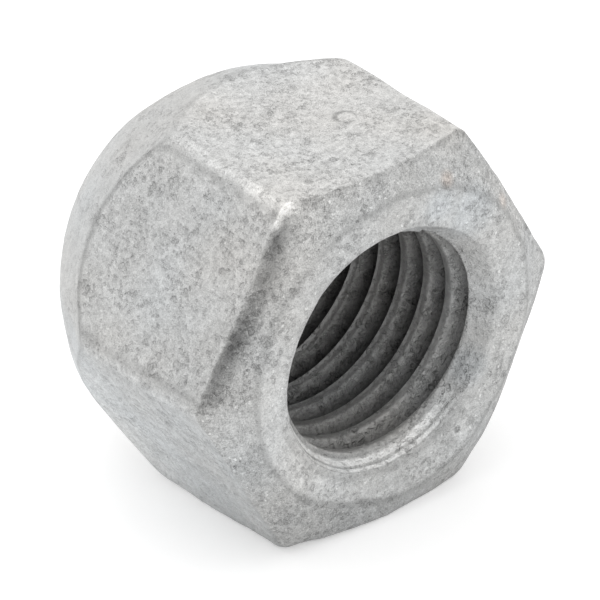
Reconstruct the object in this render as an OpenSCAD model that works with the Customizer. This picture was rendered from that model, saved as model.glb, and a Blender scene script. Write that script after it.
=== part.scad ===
// Open-end wheel nut with a ball seat. One forged and tapped piece of steel,
// lying on one flat of its hexagon. The bore runs along Y: the flat end faces
// -Y and the ball seat faces +Y. The origin is on the bore's axis, half way
// along the nut.

/* [Hexagon] */
// Width across the flats
across_flats = 18; // [15:0.5:18.5]
// Length from the flat end to the tip of the seat
nut_length = 15; // [13:0.5:18]
// Radius of the six long edges
edge_r = 0.8; // [0.3:0.1:1.5]

/* [Flat end] */
// Diameter of the flat face
face_d = 15.5; // [14:0.5:16.5]
// Angle between the corner chamfer and the flat face
face_chamfer = 30; // [20:1:40]
// Radius of the edge between the flat face and its chamfer
face_r = 0.8; // [0.2:0.1:1.2]

/* [Ball seat] */
// Radius of the ball that the seat is part of
seat_r = 9.7; // [9.4:0.1:10.5]
// Width of the narrow flat ring at the seat's tip
tip_land = 0.15; // [0.1:0.05:0.6]
// Angle between the bore's axis and the cone that takes off the corners
corner_angle = 33; // [28:1:38]
// How far that cone is cut below the ball's surface, where the ball then stands proud
cone_depth = 0.2; // [0.1:0.05:0.4]

/* [Bore] */
// Diameter over the roots of the thread, its nominal size
thread_d = 12; // [10:0.5:12.5]
// Depth of the thread from its roots to its crests
thread_depth = 0.7; // [0.5:0.05:0.9]
// How far the countersink in the flat end is cut beyond the thread
mouth_over = 0.2; // [0:0.05:0.4]
// Angle between each countersink and the bore's axis
mouth_angle = 45; // [30:1:60]
// Radius of the rim of the flat end's countersink
mouth_r = 0.3; // [0.1:0.1:0.4]

/* [Hidden] */
$fn = 96;

// Distance that each cutting or bounding form runs past the nut
over = 1;
// Straight steps in each rounded edge of a turned outline
arc_steps = 8;

apothem = across_flats / 2;
// A radius beyond the corners of the hexagon
reach = apothem / cos(30) + over;

thread_r = thread_d / 2;
bore_r = thread_r - thread_depth;
tip_r = thread_r + tip_land;

// Heights are measured from the flat end
ball_z = nut_length - sqrt(pow(seat_r, 2) - pow(tip_r, 2));
// Distance from the ball's centre to the corners' cone
cone_r = seat_r - cone_depth;

function polar(r, a) = [r * cos(a), r * sin(a)];

// Points of an arc that replaces the corner between two directions: it touches
// both sides, and turns from angle a0 to angle a1 about its centre
function arc(centre, r, a0, a1) =
    [for (i = [0:arc_steps]) centre + polar(r, a0 + (a1 - a0) * i / arc_steps)];

// Hexagon with rounded corners, drawn as its straight flats and one full round
// in each corner
module rounded_hexagon() {
    corner = (apothem - edge_r) / cos(30);
    polygon([for (i = [0:5], s = [-30, 30]) polar(corner, 60 * i) + polar(edge_r, 60 * i + s)]);
    for (i = [0:5]) translate(polar(corner, 60 * i)) circle(r = edge_r);
}

// The bar that the nut is forged from
module hexagon_bar() {
    linear_extrude(nut_length) rounded_hexagon();
}

// Everything between the corners' two chamfers: the flat end's shallow cone, and
// the steep cone that runs up into the ball
module chamfered_blank() {
    turn = face_r * tan(face_chamfer / 2);
    cone_top = [0, ball_z] + polar(cone_r, corner_angle);
    rotate_extrude() polygon(concat(
        [[0, 0]],
        arc([face_d / 2 - turn, face_r], face_r, -90, -90 + face_chamfer),
        [
            [reach, (reach - face_d / 2) * tan(face_chamfer)],
            [reach, cone_top.y - (reach - cone_top.x) / tan(corner_angle)],
            cone_top,
            [0, cone_top.y]
        ]
    ));
}

// The ball, from the middle of the nut to its tip
module ball_seat() {
    intersection() {
        translate([0, 0, ball_z]) sphere(r = seat_r);
        translate([0, 0, ball_z]) cylinder(h = nut_length - ball_z, r = seat_r + over);
    }
}

// The through hole at the thread's crests, with a countersink at each end. The
// thread is standard and is left as this plain wall.
module bore() {
    mouth = thread_r + mouth_over;
    turn = mouth_r * tan((90 - mouth_angle) / 2);
    rotate_extrude() polygon(concat(
        [
            [0, nut_length + over],
            [0, -over],
            [mouth + turn, -over]
        ],
        arc([mouth + turn, mouth_r], mouth_r, 270, 180 + mouth_angle),
        [
            [bore_r, (mouth - bore_r) / tan(mouth_angle)],
            [bore_r, nut_length - thread_depth / tan(mouth_angle)],
            [thread_r, nut_length],
            [thread_r, nut_length + over]
        ]
    ));
}

module nut() {
    color("#b9bcba")
    rotate([-90, 0, 0]) translate([0, 0, -nut_length / 2]) difference() {
        intersection() {
            hexagon_bar();
            union() {
                chamfered_blank();
                ball_seat();
            }
        }
        bore();
    }
}

nut();
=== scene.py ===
import math
import bpy
from mathutils import Matrix, Vector


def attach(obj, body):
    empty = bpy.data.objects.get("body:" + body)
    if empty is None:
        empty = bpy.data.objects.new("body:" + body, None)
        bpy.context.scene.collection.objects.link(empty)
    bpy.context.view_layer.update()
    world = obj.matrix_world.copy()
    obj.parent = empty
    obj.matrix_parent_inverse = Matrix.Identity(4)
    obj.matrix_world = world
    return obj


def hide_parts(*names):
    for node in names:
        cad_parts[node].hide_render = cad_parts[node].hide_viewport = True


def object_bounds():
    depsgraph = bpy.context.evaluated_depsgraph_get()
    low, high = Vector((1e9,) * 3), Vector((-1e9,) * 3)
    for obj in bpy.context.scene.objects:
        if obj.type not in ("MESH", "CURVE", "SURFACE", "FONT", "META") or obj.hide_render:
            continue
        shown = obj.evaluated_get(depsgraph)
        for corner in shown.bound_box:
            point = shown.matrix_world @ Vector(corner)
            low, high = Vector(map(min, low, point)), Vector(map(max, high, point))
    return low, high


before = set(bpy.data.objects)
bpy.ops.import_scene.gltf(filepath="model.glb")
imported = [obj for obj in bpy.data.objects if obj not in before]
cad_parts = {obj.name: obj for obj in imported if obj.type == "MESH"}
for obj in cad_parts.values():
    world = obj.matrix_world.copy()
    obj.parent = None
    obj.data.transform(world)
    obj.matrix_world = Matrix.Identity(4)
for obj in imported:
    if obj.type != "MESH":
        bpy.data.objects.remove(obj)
cad_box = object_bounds()


# ============================== The nut: its form ==============================
# One piece of steel, hot forged to a hexagon with a ball at one end, then bored,
# countersunk and tapped. Its skin is drawn in four bands of columns: out over the
# flat end, along the flats and over the ball, round the tip, and down the thread.

MM = 0.001

# Millimetres and degrees; depths are measured in from the flat end
NUT_SIZES = {
    "Across flats": 18.0,
    "Length": 15.0,
    "Long edge radius": 0.8,
    "Flat face radius": 7.70,
    "Flat face offset": 0.30,
    "Flat face stretch": 0.20,
    "Flat face bulge": 0.42,
    "Chamfer depth": 0.70,
    "Chamfer lean": 0.16,
    "Chamfer sway": 0.20,
    "Chamfer slack": 0.28,
    "Lap reach": 0.32,
    "Corner slope": 0.43,
    "Mouth radius": 5.90,
    "Mouth bulge": 0.40,
    "Ring radius": 5.45,
    "Ring depth": 0.75,
    "Ball radius": 9.7,
    "Ball centre depth": 7.499,
    "Corner cone distance": 9.5,
    "Corner cone angle": 33.0,
    "Root radius": 6.0,
    "Thread depth": 0.7,
    "Pitch": 1.5,
    "Crest width": 0.42,
    "First crest depth": 2.16,
    "Hammer marks": 0.08,
    "Coat ripple": 0.030,
    "Lap depth": 0.16,
    "Lip height": 0.05,
}

SIDES = 6
SIDE_TURN, HALF_SIDE = math.radians(60), math.radians(30)
# Columns round each side, how many of them fall in its rounded corner, and how far past
# the round those reach, as a multiple of it
SIDE_COLUMNS = 56
CORNER_COLUMNS = 12
CORNER_REACH = 1.6
# Rows across the stretches of each band, and along each pitch of the thread
END_ROWS = (6, 7, 5, 6, 8)
SIDE_ROWS = (8, 33, 9, 36)
TIP_ROWS = 8
PITCH_ROWS = 14
# Pitches that the rows cover between the seat and the foot of the countersink
BORE_PITCHES = 10.5


class Reading:
    """A number that a node tree reads at every point; sums on it become Math nodes."""

    def __init__(self, tree, socket):
        self.tree, self.socket = tree, socket

    def math(self, operation, *others):
        node = self.tree.nodes.new("ShaderNodeMath")
        node.operation = operation
        for socket, value in zip(node.inputs, (self, *others)):
            if isinstance(value, Reading):
                self.tree.links.new(value.socket, socket)
            else:
                socket.default_value = value
        return Reading(self.tree, node.outputs[0])

    def plain(self, number):
        """A plain number as a reading, for sums that start with it."""
        node = self.tree.nodes.new("ShaderNodeMath")
        node.inputs[0].default_value, node.inputs[1].default_value = number, 0.0
        return Reading(self.tree, node.outputs[0])

    def __add__(self, other): return self.math("ADD", other)
    def __radd__(self, other): return self.math("ADD", other)
    def __sub__(self, other): return self.math("SUBTRACT", other)
    def __rsub__(self, other): return self.plain(other) - self
    def __mul__(self, other): return self.math("MULTIPLY", other)
    def __rmul__(self, other): return self.math("MULTIPLY", other)
    def __truediv__(self, other): return self.math("DIVIDE", other)
    def __neg__(self): return self.math("MULTIPLY", -1.0)
    def sin(self): return self.math("SINE")
    def cos(self): return self.math("COSINE")
    def sqrt(self): return self.math("SQRT")
    def size(self): return self.math("ABSOLUTE")
    def sign(self): return self.math("SIGN")
    def radians(self): return self.math("RADIANS")
    def nearest(self): return self.math("ROUND")
    def whole(self): return self.math("FLOOR")
    def least(self, other): return self.math("MINIMUM", other)
    def most(self, other): return self.math("MAXIMUM", other)
    def soft_least(self, other, softness): return self.math("SMOOTH_MIN", other, softness)
    def soft_most(self, other, softness): return self.math("SMOOTH_MAX", other, softness)
    def below(self, other): return self.math("LESS_THAN", other)
    def above(self, other): return self.math("GREATER_THAN", other)

    def ramp(self, low, high, smooth=False):
        """0 up to low, 1 from high on, and evenly or smoothly between."""
        node = self.tree.nodes.new("ShaderNodeMapRange")
        node.interpolation_type = "SMOOTHSTEP" if smooth else "LINEAR"
        for socket, value in zip(node.inputs[:3], (self, low, high)):
            if isinstance(value, Reading):
                self.tree.links.new(value.socket, socket)
            else:
                socket.default_value = value
        return Reading(self.tree, node.outputs[0])


def place(tree, kind, settings=(), **values):
    """A node in the tree, its settings made and its named sockets filled or joined."""
    node = tree.nodes.new(kind)
    for name, value in dict(settings).items():
        setattr(node, name, value)
    for name, value in values.items():
        socket = node.inputs[name.replace("_", " ")]
        if isinstance(value, Reading):
            tree.links.new(value.socket, socket)
        elif isinstance(value, bpy.types.NodeSocket):
            tree.links.new(value, socket)
        else:
            socket.default_value = value
    return node


def stretches(along, rows, lengths):
    """Distance covered at `along` (0 to 1) when each length takes its share of rows."""
    total, done, reached = sum(rows), 0, None
    for count, length in zip(rows, lengths):
        part = along.ramp(done / total, (done + count) / total) * length
        reached = part if reached is None else reached + part
        done += count
    return reached


form = bpy.data.node_groups.new("nut_form", "GeometryNodeTree")
form.interface.new_socket("Geometry", in_out="OUTPUT", socket_type="NodeSocketGeometry")
for size_name in NUT_SIZES:
    form.interface.new_socket(size_name, in_out="INPUT", socket_type="NodeSocketFloat")
form.interface.new_socket("Finish", in_out="INPUT", socket_type="NodeSocketMaterial")
asked = form.nodes.new("NodeGroupInput")
size = {name: Reading(form, asked.outputs[name]) for name in NUT_SIZES}

apothem = size["Across flats"] * 0.5
edge_r = size["Long edge radius"]
length = size["Length"]
ring_r, ring_y = size["Ring radius"], size["Ring depth"]
ball_y, ball_r = size["Ball centre depth"], size["Ball radius"]


def column(grid_position):
    """Angle round the bore, share of the band's rows, and angle from the nearest corner."""
    split = place(form, "ShaderNodeSeparateXYZ", Vector=grid_position)
    round_nut = Reading(form, split.outputs["X"]) + 0.5
    along = Reading(form, split.outputs["Y"]) + 0.5
    side = round_nut * SIDES
    corner = side.nearest()
    off = side - corner
    corner_share = CORNER_COLUMNS / 2 / SIDE_COLUMNS
    corner_span = edge_r * 0.5 / (apothem + edge_r * (math.sqrt(3) - 1)) * CORNER_REACH
    away = off.size()
    from_corner = (away.ramp(0.0, corner_share) * corner_span
                   + away.ramp(corner_share, 0.5) * (HALF_SIDE - corner_span))
    angle = corner * SIDE_TURN + from_corner * off.sign()
    return angle, along, from_corner


def corner_angle(angle):
    """Angle of the hexagon's corner that lies nearest."""
    return (angle / SIDE_TURN).nearest() * SIDE_TURN


def hexagon(from_corner):
    """Radius of the forged bar: six flats, with a full round along each corner."""
    centre = (apothem - edge_r) / math.cos(HALF_SIDE)
    span = (edge_r * 0.5) / (centre + edge_r * math.cos(HALF_SIDE))
    across = centre * from_corner.sin()
    rounded = centre * from_corner.cos() + (edge_r * edge_r - across * across).most(0.0).sqrt()
    flat = apothem / (HALF_SIDE - from_corner).cos()
    in_round = from_corner.below(span)
    return in_round * rounded + (1.0 - in_round) * flat


def band(name, rows, shape):
    """One band of the skin: a grid whose points shape() puts in place, in millimetres."""
    grid = place(form, "GeometryNodeMeshGrid", Size_X=1.0, Size_Y=1.0,
                 Vertices_X=SIDES * SIDE_COLUMNS + 1, Vertices_Y=rows + 1)
    grid.label = name
    position = form.nodes.new("GeometryNodeInputPosition").outputs[0]
    angle, along, from_corner = column(position)
    radius, depth, marks = shape(angle, along, from_corner)
    skin = grid.outputs["Mesh"]
    for mark_name, reading in marks.items():
        stored = place(form, "GeometryNodeStoreNamedAttribute", {"data_type": "FLOAT"},
                       Geometry=skin, Name=mark_name)
        value = next(s for s in stored.inputs if s.name == "Value" and s.enabled)
        form.links.new(reading.socket, value)
        skin = stored.outputs["Geometry"]
    point = place(form, "ShaderNodeCombineXYZ", X=radius * angle.cos(), Y=depth,
                  Z=radius * angle.sin())
    moved = place(form, "GeometryNodeSetPosition", Geometry=skin, Position=point.outputs[0])
    return moved.outputs["Geometry"]


# Bearings round the bore, in degrees from +X towards +Z: the sides that face up and
# left, the three corners between and below them, and the way that the face and mouth lie
# to one side and the chamfer deepens
TOP_SIDE, LEFT_SIDE, LOW_LEFT_SIDE = 90, 150, 210
NEAR_CORNER, FAR_CORNER, BOTTOM_CORNER = 120, 180, 240
FACE_LEAN, CHAMFER_LEAN = 10, 37
# Stretches of the way round: the bearing of the middle, and the cosines of the angles off
# it at which the stretch starts and is full
MOUTH_BULGE = (FACE_LEAN, 0.55, 1.0)
FACE_BULGE = (289, 0.86, 1.0)
RUBBED_EDGE = (235, 0.78, 0.98)
BLUNT_CORNER = (BOTTOM_CORNER, 0.982, 1.0)
SLACK_CHAMFER = (-18, 0.5, 0.9)
LAP_REACH = (LEFT_SIDE, 0.868, 0.955)
# How far in from the wall the chamfer starts to round over: where it is crisp, where it
# is rubbed, and how much more at the one blunted corner
CRISP_START, RUBBED_START, BLUNT_START = 0.22, 1.05, 0.9
# The lap's middle, this far in front of the flat's edge, and half the widths of the lap
# and of the lip of zinc, whole and at the core; the lip lies just past the near corner.
# The ends are cosines, as above
LAP_MIDDLE, LAP_WIDTHS, LAP_ENDS = 0.26, (0.34, 0.06), (0.866, 0.885)
LIP_CORNER, LIP_WIDTHS, LIP_ENDS = 121.5, (0.24, 0.05), (0.9962, 0.9985)
# The rows crowd together over the mouth's rim, from a little inside to a little outside
# it, and over the face's outer edge, as far on either side
RIM_INSIDE, RIM_OUTSIDE, FACE_EDGE = 0.22, 0.28, 0.35
# The chamfer is reckoned only from this far outside the mouth
CHAMFER_CLEAR = 0.3
# How softly the rim of the mouth and the edge of the face are rounded
RIM_SOFTNESS, FACE_SOFTNESS = 0.16, 0.14
# A distance stored on the skin runs this far to each side of its edge
NEAR_SPAN, WIDE_SPAN = 1.0, 1.5


def facing(angle, degrees):
    """1 where the angle points along that bearing, falling as its cosine."""
    return (angle - math.radians(degrees)).cos()


def round_about(angle, stretch):
    """1 over a stretch of the way round, and 0 away from it."""
    bearing, start, full = stretch
    return facing(angle, bearing).ramp(start, full, smooth=True)


def edge_start(angle):
    """How far in from the wall the chamfer's edge starts to round over."""
    return (CRISP_START + (RUBBED_START - CRISP_START) * round_about(angle, RUBBED_EDGE)
            + BLUNT_START * round_about(angle, BLUNT_CORNER))


def mouth_radius(angle):
    """Radius of the countersink's rim, which bulges on one side."""
    return size["Mouth radius"] + size["Mouth bulge"] * round_about(angle, MOUTH_BULGE)


def face_circle(angle):
    """Radius at which the flat face ends: it is out of round, and lies to one side."""
    return (size["Flat face radius"] + size["Flat face offset"] * facing(angle, FACE_LEAN)
            + size["Flat face stretch"] * (angle * 2.0).cos()
            + size["Flat face bulge"] * round_about(angle, FACE_BULGE))


def chamfer_at_flat(angle):
    """Depth that the uneven chamfer has reached at the middle of a flat."""
    swaying = (angle * 2.0 + math.radians(30)).cos()
    return (size["Chamfer depth"] + size["Chamfer lean"] * facing(angle, CHAMFER_LEAN)
            + size["Chamfer sway"] * swaying
            + size["Lap reach"] * round_about(angle, LAP_REACH)
            - size["Chamfer slack"] * round_about(angle, SLACK_CHAMFER))


def chamfer_depth(angle, radius):
    """Depth of the chamfer at a radius: it eases towards the corners."""
    face = face_circle(angle)
    share = ((radius - face) / (apothem - face)).least(1.0)
    return ((chamfer_at_flat(angle) * share).soft_most(0.0, FACE_SOFTNESS)
            + (radius - apothem).most(0.0) * size["Corner slope"])


def edge_marks(angle, from_edge):
    """Marks near the front edge of a flat: its place, the lap, and the lip of zinc."""
    lap = ((from_edge + LAP_MIDDLE).size().ramp(*LAP_WIDTHS, smooth=True)
           * facing(angle, LEFT_SIDE).ramp(*LAP_ENDS))
    lip = (from_edge.size().ramp(*LIP_WIDTHS, smooth=True)
           * facing(angle, LIP_CORNER).ramp(*LIP_ENDS))
    return {"edge": from_edge.ramp(-NEAR_SPAN, NEAR_SPAN), "lap": lap, "lip": lip}


def flat_end(angle, along, from_corner):
    """From the foot of the countersink out over its rim, the face and the chamfer."""
    wall = hexagon(from_corner)
    mouth = mouth_radius(angle)
    face = face_circle(angle)
    radius = ring_r + stretches(along, END_ROWS, (
        mouth - RIM_INSIDE - ring_r, RIM_INSIDE + RIM_OUTSIDE,
        face - FACE_EDGE - (mouth + RIM_OUTSIDE), FACE_EDGE * 2.0,
        wall - edge_start(angle) - (face + FACE_EDGE)))
    sink = ring_y * (mouth - radius) / (mouth - ring_r)
    chamfer = chamfer_depth(angle, radius) * radius.above(mouth + CHAMFER_CLEAR)
    depth = sink.soft_most(0.0, RIM_SOFTNESS).most(chamfer)
    marks = edge_marks(angle, depth - chamfer_depth(angle, wall))
    marks["rim"] = (radius - mouth).ramp(-NEAR_SPAN, NEAR_SPAN)
    marks["facet"] = (radius - face).ramp(-WIDE_SPAN, WIDE_SPAN)
    return radius, depth, marks


# Radius on the ball at which the rounding of the tip starts, and how soft it is
TIP_START, TIP_SOFTNESS = 6.6, 0.08
# The rows crowd together over the front edge, and to either side of the ball's shoulder
FRONT_EDGE, SHOULDER_EDGE = 0.7, 0.4
# The shoulder lies no deeper than this, and past the cone's end the cone is dropped
# steeply, out of the ball's way
DEEPEST_SHOULDER = 11.05
CONE_END, CONE_DROP = 12.2, 3.0
# How softly the ball stands out of the cone, and the flats run into both
BALL_SOFTNESS, SHOULDER_SOFTNESS = 0.12, 0.35
# Depth past which nothing counts as the chamfer
CHAMFER_END = 2.0


def sides_and_ball(angle, along, from_corner):
    """Along the wall and its long edges, over the corners' cone, and over the ball."""
    wall = hexagon(from_corner)
    face = face_circle(angle)
    at_flat = chamfer_at_flat(angle)
    cone_angle = size["Corner cone angle"].radians()
    start = chamfer_depth(angle, wall - edge_start(angle))
    shoulder = (ball_y + (size["Corner cone distance"] - wall * cone_angle.cos())
                / cone_angle.sin()).least(DEEPEST_SHOULDER)
    stop = ball_y + (ball_r * ball_r - TIP_START * TIP_START).sqrt()
    depth = start + stretches(along, SIDE_ROWS, (
        FRONT_EDGE, shoulder - SHOULDER_EDGE - (start + FRONT_EDGE), SHOULDER_EDGE * 2.0,
        stop - (shoulder + SHOULDER_EDGE)))
    chamfer = (face + (apothem - face) * (depth / at_flat).least(1.0)
               + (depth - at_flat).most(0.0) / size["Corner slope"])
    cone = ((size["Corner cone distance"] - (depth - ball_y) * cone_angle.sin())
            / cone_angle.cos() - CONE_DROP * (depth - CONE_END).most(0.0))
    ball = (ball_r * ball_r - (depth - ball_y) * (depth - ball_y)).sqrt()
    radius = (wall.soft_least(chamfer, edge_start(angle))
              .soft_least(ball.soft_most(cone, BALL_SOFTNESS), SHOULDER_SOFTNESS))
    marks = edge_marks(angle, depth - chamfer_depth(angle, wall))
    marks["rim"] = radius.above(0.0)
    marks["facet"] = (radius - face).most(depth - CHAMFER_END).ramp(-WIDE_SPAN, WIDE_SPAN)
    marks["shoulder"] = (depth - shoulder).ramp(-NEAR_SPAN, NEAR_SPAN)
    marks["corner"] = (wall * (angle - corner_angle(angle))).ramp(-WIDE_SPAN, WIDE_SPAN)
    return radius, depth, marks


# Depth at which the thread is blended into the seat's own countersink, and how steeply
# it opens to it
BORE_END, LEAD_IN = 14.85, 2.0
# Thread form: the angle of its flanks, how softly crests and roots are rounded, and how
# far past the foot of the countersink the groove starts
FLANK_ANGLE = math.radians(60)
CREST_SOFTNESS, ROOT_SOFTNESS, FOOT_SOFTNESS = 0.10, 0.14, 0.12
GROOVE_START = 0.4
# Places of the rows between a crest and a root, closest where the form turns
HALF_PITCH_ROWS = (0.0, 0.18, 0.25, 0.32, 0.43, 0.54, 0.65, 0.75)
# A crest's land: how far it reaches from the crest's middle, fading, and how nearly whole
# the crest has to stand there
LAND_REACH, LAND_STANDING = (0.24, 0.17), (0.85, 0.95)
# Depth over which the mouth's finish gives way to the bore's
BORE_BLEND = 0.22


def tip(angle, along, from_corner):
    """Over the narrow land at the tip of the seat, and into its countersink."""
    inner = size["Root radius"] - (length - BORE_END)
    radius = TIP_START - along * (TIP_START - inner)
    ball = ball_y + (ball_r * ball_r - radius * radius).sqrt()
    sink = length + radius - size["Root radius"]
    depth = ball.soft_least(length, TIP_SOFTNESS).least(sink)
    all_over = radius.above(0.0)
    return radius, depth, {"edge": all_over, "rim": all_over, "facet": all_over,
                           "shoulder": all_over}


def thread(angle, along, from_corner):
    """Down the bore from the seat to the ring, one row to each place on the thread."""
    pitch, bore_r = size["Pitch"], size["Root radius"] - size["Thread depth"]
    turns = angle / math.tau
    place_on_thread = (BORE_PITCHES - 1.0) - along * BORE_PITCHES
    crest = place_on_thread.nearest()
    off = place_on_thread - crest
    rows = form.nodes.new("ShaderNodeFloatCurve")
    points = rows.mapping.curves[0].points
    while len(points) < len(HALF_PITCH_ROWS):
        points.new(0.5, 0.5)
    for number, (point, off_crest) in enumerate(zip(points, HALF_PITCH_ROWS)):
        point.location = (number / (len(HALF_PITCH_ROWS) - 1), off_crest / HALF_PITCH_ROWS[-1])
        point.handle_type = "VECTOR"
    rows.mapping.update()
    form.links.new((off.size() * 2.0).socket, rows.inputs["Value"])
    from_crest = Reading(form, rows.outputs[0]) * pitch * 0.5
    depth = (size["First crest depth"] + pitch * (crest - turns)
             + from_crest * off.sign()).most(ring_y).least(BORE_END)
    steep = math.tan(FLANK_ANGLE)
    cut = ((from_crest - size["Crest width"] * 0.5) * steep).soft_most(0.0, CREST_SOFTNESS)
    groove = size["First crest depth"] + pitch * (place_on_thread.whole() + 0.5 - turns)
    cut = (cut.soft_least(size["Thread depth"], ROOT_SOFTNESS)
           * groove.above(ring_y + GROOVE_START))
    behind_ring = ring_r + steep * (depth - ring_y)
    behind_seat = size["Root radius"] - (length - BORE_END) + LEAD_IN * (BORE_END - depth)
    sink = size["Root radius"] - (length - depth)
    foot_of_sink = ring_r - (depth - ring_y)
    radius = ((bore_r + cut).soft_most(foot_of_sink, FOOT_SOFTNESS).least(behind_ring)
              .least(behind_seat).most(sink))
    standing = (size["Root radius"] - radius) / size["Thread depth"]
    land = from_crest.ramp(*LAND_REACH) * standing.ramp(*LAND_STANDING)
    return radius, depth, {
        "bore": depth.ramp(ring_y, ring_y + BORE_BLEND), "crest": standing, "land": land,
        "rim": (ring_r - mouth_radius(angle)).ramp(-NEAR_SPAN, NEAR_SPAN)}


skin = place(form, "GeometryNodeJoinGeometry")
for made in (
    band("flat end", sum(END_ROWS), flat_end),
    band("sides and ball", sum(SIDE_ROWS), sides_and_ball),
    band("tip", TIP_ROWS, tip),
    band("thread", round(BORE_PITCHES * PITCH_ROWS), thread),
):
    form.links.new(made, skin.inputs[0])
# Where two bands meet, their rows fall on the same places
WELD = 0.0005
welded = place(form, "GeometryNodeMergeByDistance", Geometry=skin.outputs[0], Distance=WELD)
closed = place(form, "GeometryNodeFlipFaces", Mesh=welded.outputs[0])

# The hammer of the forge leaves broad hollows, and the thick coat a fine ripple
where = form.nodes.new("GeometryNodeInputPosition").outputs[0]
hollows = place(form, "ShaderNodeTexNoise", Vector=where, Scale=0.22, Detail=1.0)
ripple = place(form, "ShaderNodeTexNoise", Vector=where, Scale=1.1, Detail=2.5, Roughness=0.6)


def skin_mark(name):
    """What a band has stored on the skin under this name."""
    return Reading(form, place(form, "GeometryNodeInputNamedAttribute", {"data_type": "FLOAT"},
                               Name=name).outputs[0])


# The bore is cut after forging, so it is calmer than the skin outside
BORE_CALM = 0.85
outside = 1.0 - skin_mark("bore") * BORE_CALM
rough_skin = Reading(form, ripple.outputs[0])
sunk = (outside * (
    Reading(form, hollows.outputs[0]).ramp(0.35, 0.68, smooth=True) * size["Hammer marks"]
    + rough_skin.ramp(0.25, 0.75) * size["Coat ripple"])
    + skin_mark("lap") * rough_skin.ramp(0.35, 0.6) * size["Lap depth"]
    - skin_mark("lip") * size["Lip height"])
inward = place(form, "ShaderNodeVectorMath", {"operation": "SCALE"},
               Vector=form.nodes.new("GeometryNodeInputNormal").outputs[0], Scale=-sunk)
worn = place(form, "GeometryNodeSetPosition", Geometry=closed.outputs[0],
             Offset=inward.outputs[0])

# The flat end lies half the nut's length in front of the origin
laid = place(form, "GeometryNodeTransform", Geometry=worn.outputs[0],
             Translation=(0.0, -NUT_SIZES["Length"] / 2 * MM, 0.0), Scale=(MM, MM, MM))
smooth = place(form, "GeometryNodeSetShadeSmooth", Geometry=laid.outputs[0])
real = place(form, "GeometryNodeRealizeInstances", Geometry=smooth.outputs[0])
dressed = place(form, "GeometryNodeSetMaterial", Geometry=real.outputs[0],
                Material=asked.outputs["Finish"])
given = form.nodes.new("NodeGroupOutput")
form.links.new(dressed.outputs[0], given.inputs[0])


# ============================= The nut: its finish =============================
# A thick, matt coat of zinc, grey and a little mottled, with small dark pits in
# it and paler metal where edges have rubbed. The thread is darker and oily. Shade
# and light are painted into the colour too: in the pits, along the lap, round the
# mouth, down the thread's roots and over whole faces.

zinc = bpy.data.materials.new("zinc_coated_steel")
zinc.use_nodes = True
coat = zinc.node_tree
shader = coat.nodes["Principled BSDF"]
shader.inputs["Metallic"].default_value = 0.35

# Places on the nut in millimetres, from the middle of its bore
at = place(coat, "ShaderNodeVectorMath", {"operation": "SCALE"},
           Vector=place(coat, "ShaderNodeTexCoord").outputs["Object"], Scale=1 / MM).outputs[0]


def noise(scale, detail=2.0, rough=0.5, at=at):
    """Even random unevenness, about 0.5 in the middle, so many times to the millimetre."""
    node = place(coat, "ShaderNodeTexNoise", Vector=at, Scale=scale, Detail=detail, Roughness=rough)
    return Reading(coat, node.outputs[0])


# The same places nudged about, for pits of uneven outline, and a far-off stretch of noise
jitter = place(coat, "ShaderNodeTexNoise", Vector=at, Scale=5.0, Detail=2.0)
bent = place(coat, "ShaderNodeVectorMath", {"operation": "MULTIPLY_ADD"},
             Vector=jitter.outputs["Color"])
bent.inputs[1].default_value = (0.30, 0.30, 0.30)
coat.links.new(at, bent.inputs[2])
far_off = place(coat, "ShaderNodeVectorMath", {"operation": "ADD"}, Vector=at)
far_off.inputs[1].default_value = (31.0, 17.0, 5.0)
elsewhere = far_off.outputs[0]

split = place(coat, "ShaderNodeSeparateXYZ", Vector=at)
x, y, z = (Reading(coat, split.outputs[letter]) for letter in "XYZ")
out = (x * x + z * z).sqrt()


def mark(name):
    """What the form has stored on the skin under this name."""
    stored = place(coat, "ShaderNodeAttribute", {"attribute_name": name})
    return Reading(coat, stored.outputs["Fac"])


def distance_from(name, span):
    """Millimetres from an edge of the form, inwards below zero, as far as its span."""
    return mark(name) * (2.0 * span) - span


def towards_side(degrees, start, full, smooth=False):
    """1 on the side that faces a bearing and 0 far from it; both limits are cosines."""
    turn = math.radians(degrees)
    return ((x * math.cos(turn) + z * math.sin(turn)) / out).ramp(start, full, smooth)


def line(distance, half_width, core):
    """1 along the line where a distance is zero, and 0 beyond its half width."""
    return distance.size().ramp(half_width, core)


def near(centre, start, full):
    """1 close to a place on the skin, in millimetres, and 0 from `start` away."""
    gap = place(coat, "ShaderNodeVectorMath", {"operation": "DISTANCE"}, Vector=at)
    gap.inputs[1].default_value = centre
    return Reading(coat, gap.outputs["Value"]).ramp(start, full, smooth=True)


def pitting(scale, radius, share):
    """Round pits of uneven outline: 1 in their middles; only some cells hold one."""
    cells = place(coat, "ShaderNodeTexVoronoi", Vector=bent.outputs[0], Scale=scale)
    chance = place(coat, "ShaderNodeSeparateColor", Color=cells.outputs["Color"])
    gap = Reading(coat, cells.outputs["Distance"])
    raised_rim = line(gap - radius * 1.15, radius * 0.3, 0.0)
    return ((gap.ramp(radius, radius * 0.5, smooth=True) - raised_rim * 0.4)
            * Reading(coat, chance.outputs[0]).ramp(1.0 - share, 1.0 - share * 0.3))


# Unevenness of the coat, from broad clouds to dust, and its pits, specks and crumbs
broad = noise(0.30, 2.0)
mottle = noise(0.9, 3.0, 0.6)
grain = noise(2.6, 3.0, 0.95)
dust = noise(16.0, 1.0)
tint = noise(0.22, 1.0, at=elsewhere)
clusters = noise(0.55, 2.0, at=elsewhere).ramp(0.42, 0.60, smooth=True)
pits = pitting(2.6, 0.42, 0.7) * (clusters * 0.6 + 0.3)
specks = pitting(5.2, 0.42, 0.7) * (clusters * 0.5 + 0.5)
crumbs = pitting(3.6, 0.34, 0.4)
curls = line(noise(3.4, 1.0, at=elsewhere) - 0.5, 0.030, 0.006) * (clusters * 0.6 + 0.4)
patchy = grain.ramp(0.34, 0.62) * 0.75 + 0.25
wander = (mottle - 0.5) * 0.5

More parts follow.
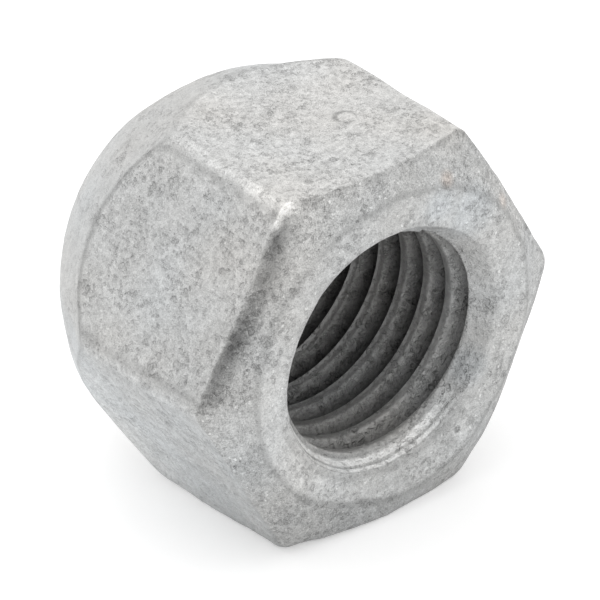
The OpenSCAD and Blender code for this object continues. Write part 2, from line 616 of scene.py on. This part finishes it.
# Where a place lies on the form
bore, crest, land, lip = (mark(name) for name in ("bore", "crest", "land", "lip"))
from_edge = distance_from("edge", NEAR_SPAN)
from_rim = distance_from("rim", NEAR_SPAN)
from_face = distance_from("facet", WIDE_SPAN)
from_shoulder = distance_from("shoulder", NEAR_SPAN)
from_corner = distance_from("corner", WIDE_SPAN)
rubbed_side = towards_side(225, 0.80, 0.96, smooth=True)
rubbed_back = rubbed_side * (0.28 + (mottle - 0.5) * 0.8)
past_face = from_face.ramp(-0.10, 0.30)
on_flat = (from_edge - rubbed_back).ramp(-0.02, 0.05)
on_chamfer = past_face * (1.0 - on_flat)
on_face = from_rim.ramp(-0.02, 0.04) * (1.0 - past_face)
on_ball = from_shoulder.ramp(0.0, 0.25, smooth=True)
on_left_flat = towards_side(LEFT_SIDE, 0.862, 0.895)
on_top_flat = towards_side(TOP_SIDE, 0.85, 0.88) * on_flat * (1.0 - on_ball)
on_low_left_flat = towards_side(LOW_LEFT_SIDE, 0.85, 0.88) * on_flat

# The lap: a fold along the left flat's front edge, painted dark as the shade in it,
# thinner towards both its corners, with grey shade painted to either side
folds = (grain - 0.5) * 0.6 + wander * 1.1
fold = ((from_edge + folds).ramp(-0.85, -0.22, smooth=True)
        * (from_edge + folds * 0.8).ramp(0.20, -0.20, smooth=True))
fold_depth = noise(0.5, 1.0).ramp(0.36, 0.62) * 0.22 + 0.34
by_its_ends = (towards_side(FAR_CORNER, 0.93, 0.99)
               .most(towards_side(NEAR_CORNER + 1, 0.975, 0.995)))
thinned = by_its_ends * from_edge.ramp(-0.20, -0.50) * 0.75
shade_outside = ((from_edge + wander).ramp(-1.0, -0.5) * (1.0 - on_flat) * 0.16
                 * towards_side(154, 0.86, 0.93))
shade_on_flat = from_edge.ramp(0.30, 0.0, smooth=True) * on_flat * 0.10
lap = (fold * fold_depth * (1.0 - thinned) + shade_outside + shade_on_flat) * on_left_flat

# Darker lines along the creases between the forged faces, and a darker chamfer;
# low down, the chamfer's darkening is painted shade
beside_corner = (line(from_corner.size() - 0.48 + wander * 1.5, 0.34, 0.04) * on_flat
                 * (1.0 - on_ball) * (on_left_flat * 0.8 + 0.2))
front_line = (line(from_edge + 0.04 + wander * 0.15, 0.17, 0.02)
              * (1.0 - towards_side(BOTTOM_CORNER, 0.3, 0.7)) * mottle.ramp(0.40, 0.58))
back_line = line(from_shoulder + wander * 0.8, 0.30, 0.04)
face_line = line(from_face - 0.08 + wander * 0.5, 0.27, 0.05)
rubbed_line = line(from_edge - rubbed_back - 0.10, 0.20, 0.03) * rubbed_side
# The chamfer is darker all round, more so beside the lap, and most towards the bottom, where it is
# painted shade near the paper
chamfer_darkening = (on_chamfer * (0.05 + mottle.ramp(0.40, 0.62) * 0.14)
                * (0.15 + towards_side(154, 0.88, 0.97) * 1.25
                   + towards_side(262, 0.8, 0.97) * 0.45))
creases = ((front_line * 0.32).most(back_line * (on_left_flat * 0.16 + 0.24))
           .most(beside_corner * 0.34) + rubbed_line * 0.12 + chamfer_darkening)

# Painted light and shade over broad areas: painted shade on the low front, on the
# left flat and on the ball's top, and painted light on the low back, the top flat
# and the ball's left side
low_front = z.ramp(0.0, -9.0) * y.ramp(3.0, -7.5)
low_back = z.ramp(0.0, -4.0) * y.ramp(-4.0, 3.0)
painted_light_and_shade = (low_front * (0.12 - on_face * 0.08) + on_left_flat * on_flat * 0.03
          - on_ball * towards_side(170, 0.5, 0.9) * 0.05 - on_top_flat * 0.06
          + on_ball * towards_side(100, 0.8, 0.95) * 0.04 - low_back * on_flat * 0.22)
# All the darkening together, with the painted shade and the painted light
painted_light_and_darkening = ((creases.least(0.45) * patchy).most(lap * (patchy * 0.5 + 0.6))
        + face_line * (0.14 + patchy * 0.14 - on_left_flat * 0.08) + painted_light_and_shade)

# Tool marks round the mouth, with painted light and shade: a rubbed, scored lip low
# on the left, brightened by a painted highlight with painted shadow lines beside it,
# and a cone painted in shade, darkest low on the left where it sinks into the bore
low_left = towards_side(-110, 0.25, 0.75, smooth=True)
cone = (from_rim + wander * (1.0 - low_left) * 0.5).ramp(0.05, -0.12) * from_rim.above(-0.95)
# Painted shade on the cone, away from the low left
cone_shade = cone * (1.0 - low_left) * (0.10 + towards_side(-60, 0.6, 0.9) * 0.10)
drift = wander * 0.15
# The rubbed lip: paler with wear, and brightened by a painted highlight
rubbed_and_highlit = (line(from_rim + 0.30 + drift, 0.15, 0.06)
          .most(line(from_rim + 0.09 + drift, 0.08, 0.03) * 0.75) * low_left)
# Scored lines, and the painted shadow beside the lip and outside it
scored_and_shadowed = ((line(from_rim + 0.18 + drift, 0.06, 0.02)
           .most(line(from_rim - 0.05 + drift, 0.10, 0.04)) * low_left * 0.50)
          .most(line(from_rim - 0.27 + wander * 0.6, 0.30, 0.10) * low_left * 0.54)
          .most(line(from_rim - 0.15 + wander * 0.2, 0.14, 0.03) * 0.25))
# Painted shade where the cone sinks into the bore, low on the left
sunk_in_shade = from_rim.ramp(-0.34, -0.52, smooth=True) * cone * low_left

# Single knocks and drips: where, how wide, and how much paler or darker they are
KNOCKS = (
    # A ring with a pale middle, and a nick, on the top flat; the ring's dark back and
    # left and its pale middle are the painted shade and light of a dent
    ((1.78, -2.28, 8.93), 0.62, -0.27), ((1.83, -2.38, 8.93), 0.47, 0.28),
    ((-3.05, -5.38, 8.93), 0.26, -0.17),
    # Rubbed patches on the long edge behind the near corner
    ((-5.35, -4.2, 8.75), 0.60, 0.14), ((-5.45, -5.2, 8.7), 0.60, 0.13),
    # A scar on the lower right of the face
    ((4.30, -7.4, -5.85), 0.62, 0.13), ((4.05, -7.4, -5.70), 0.24, -0.24),
    ((4.80, -7.4, -5.60), 0.32, -0.16), ((3.6, -7.5, -5.3), 1.2, -0.07),
)
knocks = sum(near(centre, radius, radius * 0.7) * change for centre, radius, change in KNOCKS)
blue = (near((4.9, -7.5, 5.3), 1.8, 0.6) + near((2.9, -7.5, 6.3), 1.3, 0.3)
        + near((4.9, -7.2, -2.9), 1.3, 0.4))
rust = near((3.5, -7.3, 7.4), 0.6, 0.1) + near((6.9, -7.2, 4.9), 0.55, 0.1) * 0.7
ridge = from_corner.size().ramp(0.45, 0.15) * on_flat * (1.0 - on_ball)

# Tone of the coat: its own grey and texture, less what darkens it and the painted
# shade, then the paler marks and the painted light
ZINC_TONE = 0.600
texture = 1.0 - on_ball * 0.45 + on_chamfer * 0.30
# The pits, specks and curls are painted darker, as the shade in their hollows
dent_shade = (pits * 0.09).most(specks * 0.08).most(curls * 0.06)
clean = (ZINC_TONE + (broad - 0.5) * 0.10 + (mottle - 0.5) * 0.15
         + ((grain - 0.5) * 0.66 + (dust - 0.5) * (0.40 + (on_face + on_chamfer) * 0.08) - dent_shade
            + crumbs * (0.07 + on_chamfer * 0.12 + on_face * 0.14)) * texture)
coat_with_painted_shade = (clean * (1.0 - painted_light_and_darkening) * (1.0 - cone_shade) * (1.0 - scored_and_shadowed * 0.42)
          * (1.0 - sunk_in_shade * 0.38))
# The flat end is paler metal, with painted light added on its lower left and upper right
face_tone_and_painted_light = on_face * (0.033 + towards_side(LOW_LEFT_SIDE, 0.50, 0.90) * 0.095
                       + towards_side(50, 0.85, 1.0) * 0.035)
# The raised lip of zinc by the near corner is brightened by a painted highlight; the long corners
# are a little paler
coated = (coat_with_painted_shade + knocks + (lip * 0.55 + ridge * 0.05) * (patchy * 0.6 + 0.4)
          + rubbed_and_highlit * (0.27 + patchy * 0.22) + face_tone_and_painted_light)

# Tone of the thread: dark roots and paler flanks, the tone rising from root to crest
# as painted shade in the grooves, and a cut land on each crest; painted light near the
# mouth and low down
mouth_light = y.ramp(-3.5, -6.2) * 0.13
ROOT_TONE, LAND_TONE = 0.068, 0.26
flank = (crest * (0.34 + (grain - 0.5) * 0.8 + crumbs * 0.24) + ROOT_TONE + mouth_light
         + z.ramp(-1.0, -5.5) * 0.04)
threaded = flank * (1.0 - land) + land * (LAND_TONE + mouth_light + (grain - 0.5) * 0.25)
tone = coated * (1.0 - bore) + threaded * bore

# Zinc is all but neutral: red gains and blue loses by the warmth. Painted light warms
# the top and cools the lower left flat; the rest is the coat's own tint, rust, blue
# patches and the bore
warm_tint_and_painted_light = (z.ramp(7.6, 9.0) * 0.010 + (tint - 0.5) * 0.06 - on_low_left_flat * 0.012
        + rust * 0.08 - blue * 0.024 + bore * 0.008)
colour = place(coat, "ShaderNodeCombineColor", Red=tone * (warm_tint_and_painted_light + 0.994),
               Green=tone * (1.0 - rust * 0.02), Blue=tone * (0.992 - warm_tint_and_painted_light))
coat.links.new(colour.outputs[0], shader.inputs["Base Color"])
rough = 0.55 + (grain - 0.5) * 0.3 + pits * 0.12 - land * 0.12
coat.links.new(rough.socket, shader.inputs["Roughness"])
height = ((mottle - 0.5) * 0.06 + (grain - 0.5) * 0.12 * (1.0 - land * 0.8)
          - pits * 0.10 - specks * 0.06)
bump = place(coat, "ShaderNodeBump", Height=height, Distance=MM, Strength=1.0)
coat.links.new(bump.outputs[0], shader.inputs["Normal"])

nut = bpy.data.objects.new("zinc_coated_nut", bpy.data.meshes.new("blank"))
bpy.context.scene.collection.objects.link(nut)
making = nut.modifiers.new("form", "NODES")
making.node_group = form
for item in form.interface.items_tree:
    if item.in_out == "INPUT":
        making[item.identifier] = zinc if item.name == "Finish" else NUT_SIZES[item.name]
bpy.context.view_layer.update()
made_nut = nut.evaluated_get(bpy.context.evaluated_depsgraph_get())
finished = bpy.data.meshes.new_from_object(made_nut)
nut.modifiers.remove(making)
nut.data = finished
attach(nut, "root")
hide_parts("nut")


# ================================= The table ==================================
# A wide sheet of matt white paper that the nut lies on. The light comes softly
# from all round, with one very large softbox almost straight above.

TABLE_REACH = 1.5
level = cad_box[0][2]
table_top = bpy.data.meshes.new("table")
table_top.from_pydata([(-TABLE_REACH, -TABLE_REACH, level), (TABLE_REACH, -TABLE_REACH, level),
                       (TABLE_REACH, TABLE_REACH, level), (-TABLE_REACH, TABLE_REACH, level)],
                      [], [(0, 1, 2, 3)])
table = bpy.data.objects.new("table", table_top)
bpy.context.scene.collection.objects.link(table)


def seen_directly(tree):
    """1 for rays that show a surface or the room itself, and 0 for those that light."""
    rays = place(tree, "ShaderNodeLightPath")
    kinds = ("Is Camera Ray", "Is Glossy Ray", "Is Transmission Ray")
    return sum(Reading(tree, rays.outputs[kind]) for kind in kinds).least(1.0)


paper = bpy.data.materials.new("white_paper")
paper.use_nodes = True
sheet = paper.node_tree
matt = sheet.nodes["Principled BSDF"]
matt.inputs["Base Color"].default_value = (0.80, 0.80, 0.80, 1)
matt.inputs["Roughness"].default_value = 1.0
matt.inputs["Specular IOR Level"].default_value = 0.0
# The paper is brighter to look at than the light that it throws back on the nut
PAPER_GLOW = 0.38
glow = place(sheet, "ShaderNodeEmission", Color=(1, 1, 1, 1),
             Strength=seen_directly(sheet) * PAPER_GLOW)
both = place(sheet, "ShaderNodeAddShader")
sheet.links.new(matt.outputs[0], both.inputs[0])
sheet.links.new(glow.outputs[0], both.inputs[1])
sheet.links.new(both.outputs[0], sheet.nodes["Material Output"].inputs["Surface"])
table_top.materials.append(paper)

# The room is a little brighter to look at than the light that it gives
ROOM_LIGHT = 0.82
world = bpy.data.worlds.new("studio")
bpy.context.scene.world = world
world.use_nodes = True
room = world.node_tree
sky = room.nodes["Background"]
sky.inputs["Color"].default_value = (1, 1, 1, 1)
brightness = ROOM_LIGHT + seen_directly(room) * (1.0 - ROOM_LIGHT)
room.links.new(brightness.socket, sky.inputs["Strength"])

lamp = bpy.data.lights.new("softbox", "SUN")
lamp.energy = 0.9
lamp.angle = math.radians(70)
softbox = bpy.data.objects.new("softbox", lamp)
bpy.context.scene.collection.objects.link(softbox)
softbox.rotation_euler = (math.radians(-13), math.radians(-3), 0)


# ================================= The camera =================================
# An upright view of the flat end from the left and above, drawn without
# perspective, as a long lens draws it.

# The picture is 600 pixels wide and high, and half the width across flats is 204 of them
FRAME_PIXELS = 600
PIXELS_PER_MM = 204 / 9
# The nut's middle lies left of and above the picture's, by this many pixels
NUT_LEFT, NUT_ABOVE = 24.46, 19.05
# Where the nut's middle is taken to be along the bore, in millimetres, and how far away
# the camera stands, in metres
MIDDLE_Y, CAMERA_AWAY = 0.15, 0.2
azimuth, elevation, roll = math.radians(-41.51), math.radians(31.65), math.radians(0.70)
towards = Vector((math.sin(azimuth) * math.cos(elevation),
                  -math.cos(azimuth) * math.cos(elevation), math.sin(elevation)))
level_right = Vector((math.cos(azimuth), math.sin(azimuth), 0))
level_up = towards.cross(level_right)
right = math.cos(roll) * level_right + math.sin(roll) * level_up
up = math.cos(roll) * level_up - math.sin(roll) * level_right
aim = (Vector((0, MIDDLE_Y * MM, 0)) + right * (NUT_LEFT / PIXELS_PER_MM * MM)
       - up * (NUT_ABOVE / PIXELS_PER_MM * MM))
lens = bpy.data.cameras.new("camera")
lens.type = "ORTHO"
lens.ortho_scale = FRAME_PIXELS / PIXELS_PER_MM * MM
lens.clip_start, lens.clip_end = 0.01, 2
camera = bpy.data.objects.new("camera", lens)
bpy.context.scene.collection.objects.link(camera)
stand = Matrix((right, up, towards)).transposed().to_4x4()
stand.translation = aim + towards * CAMERA_AWAY
camera.matrix_world = stand
bpy.context.scene.camera = camera
bpy.context.scene.view_settings.view_transform = "Standard"
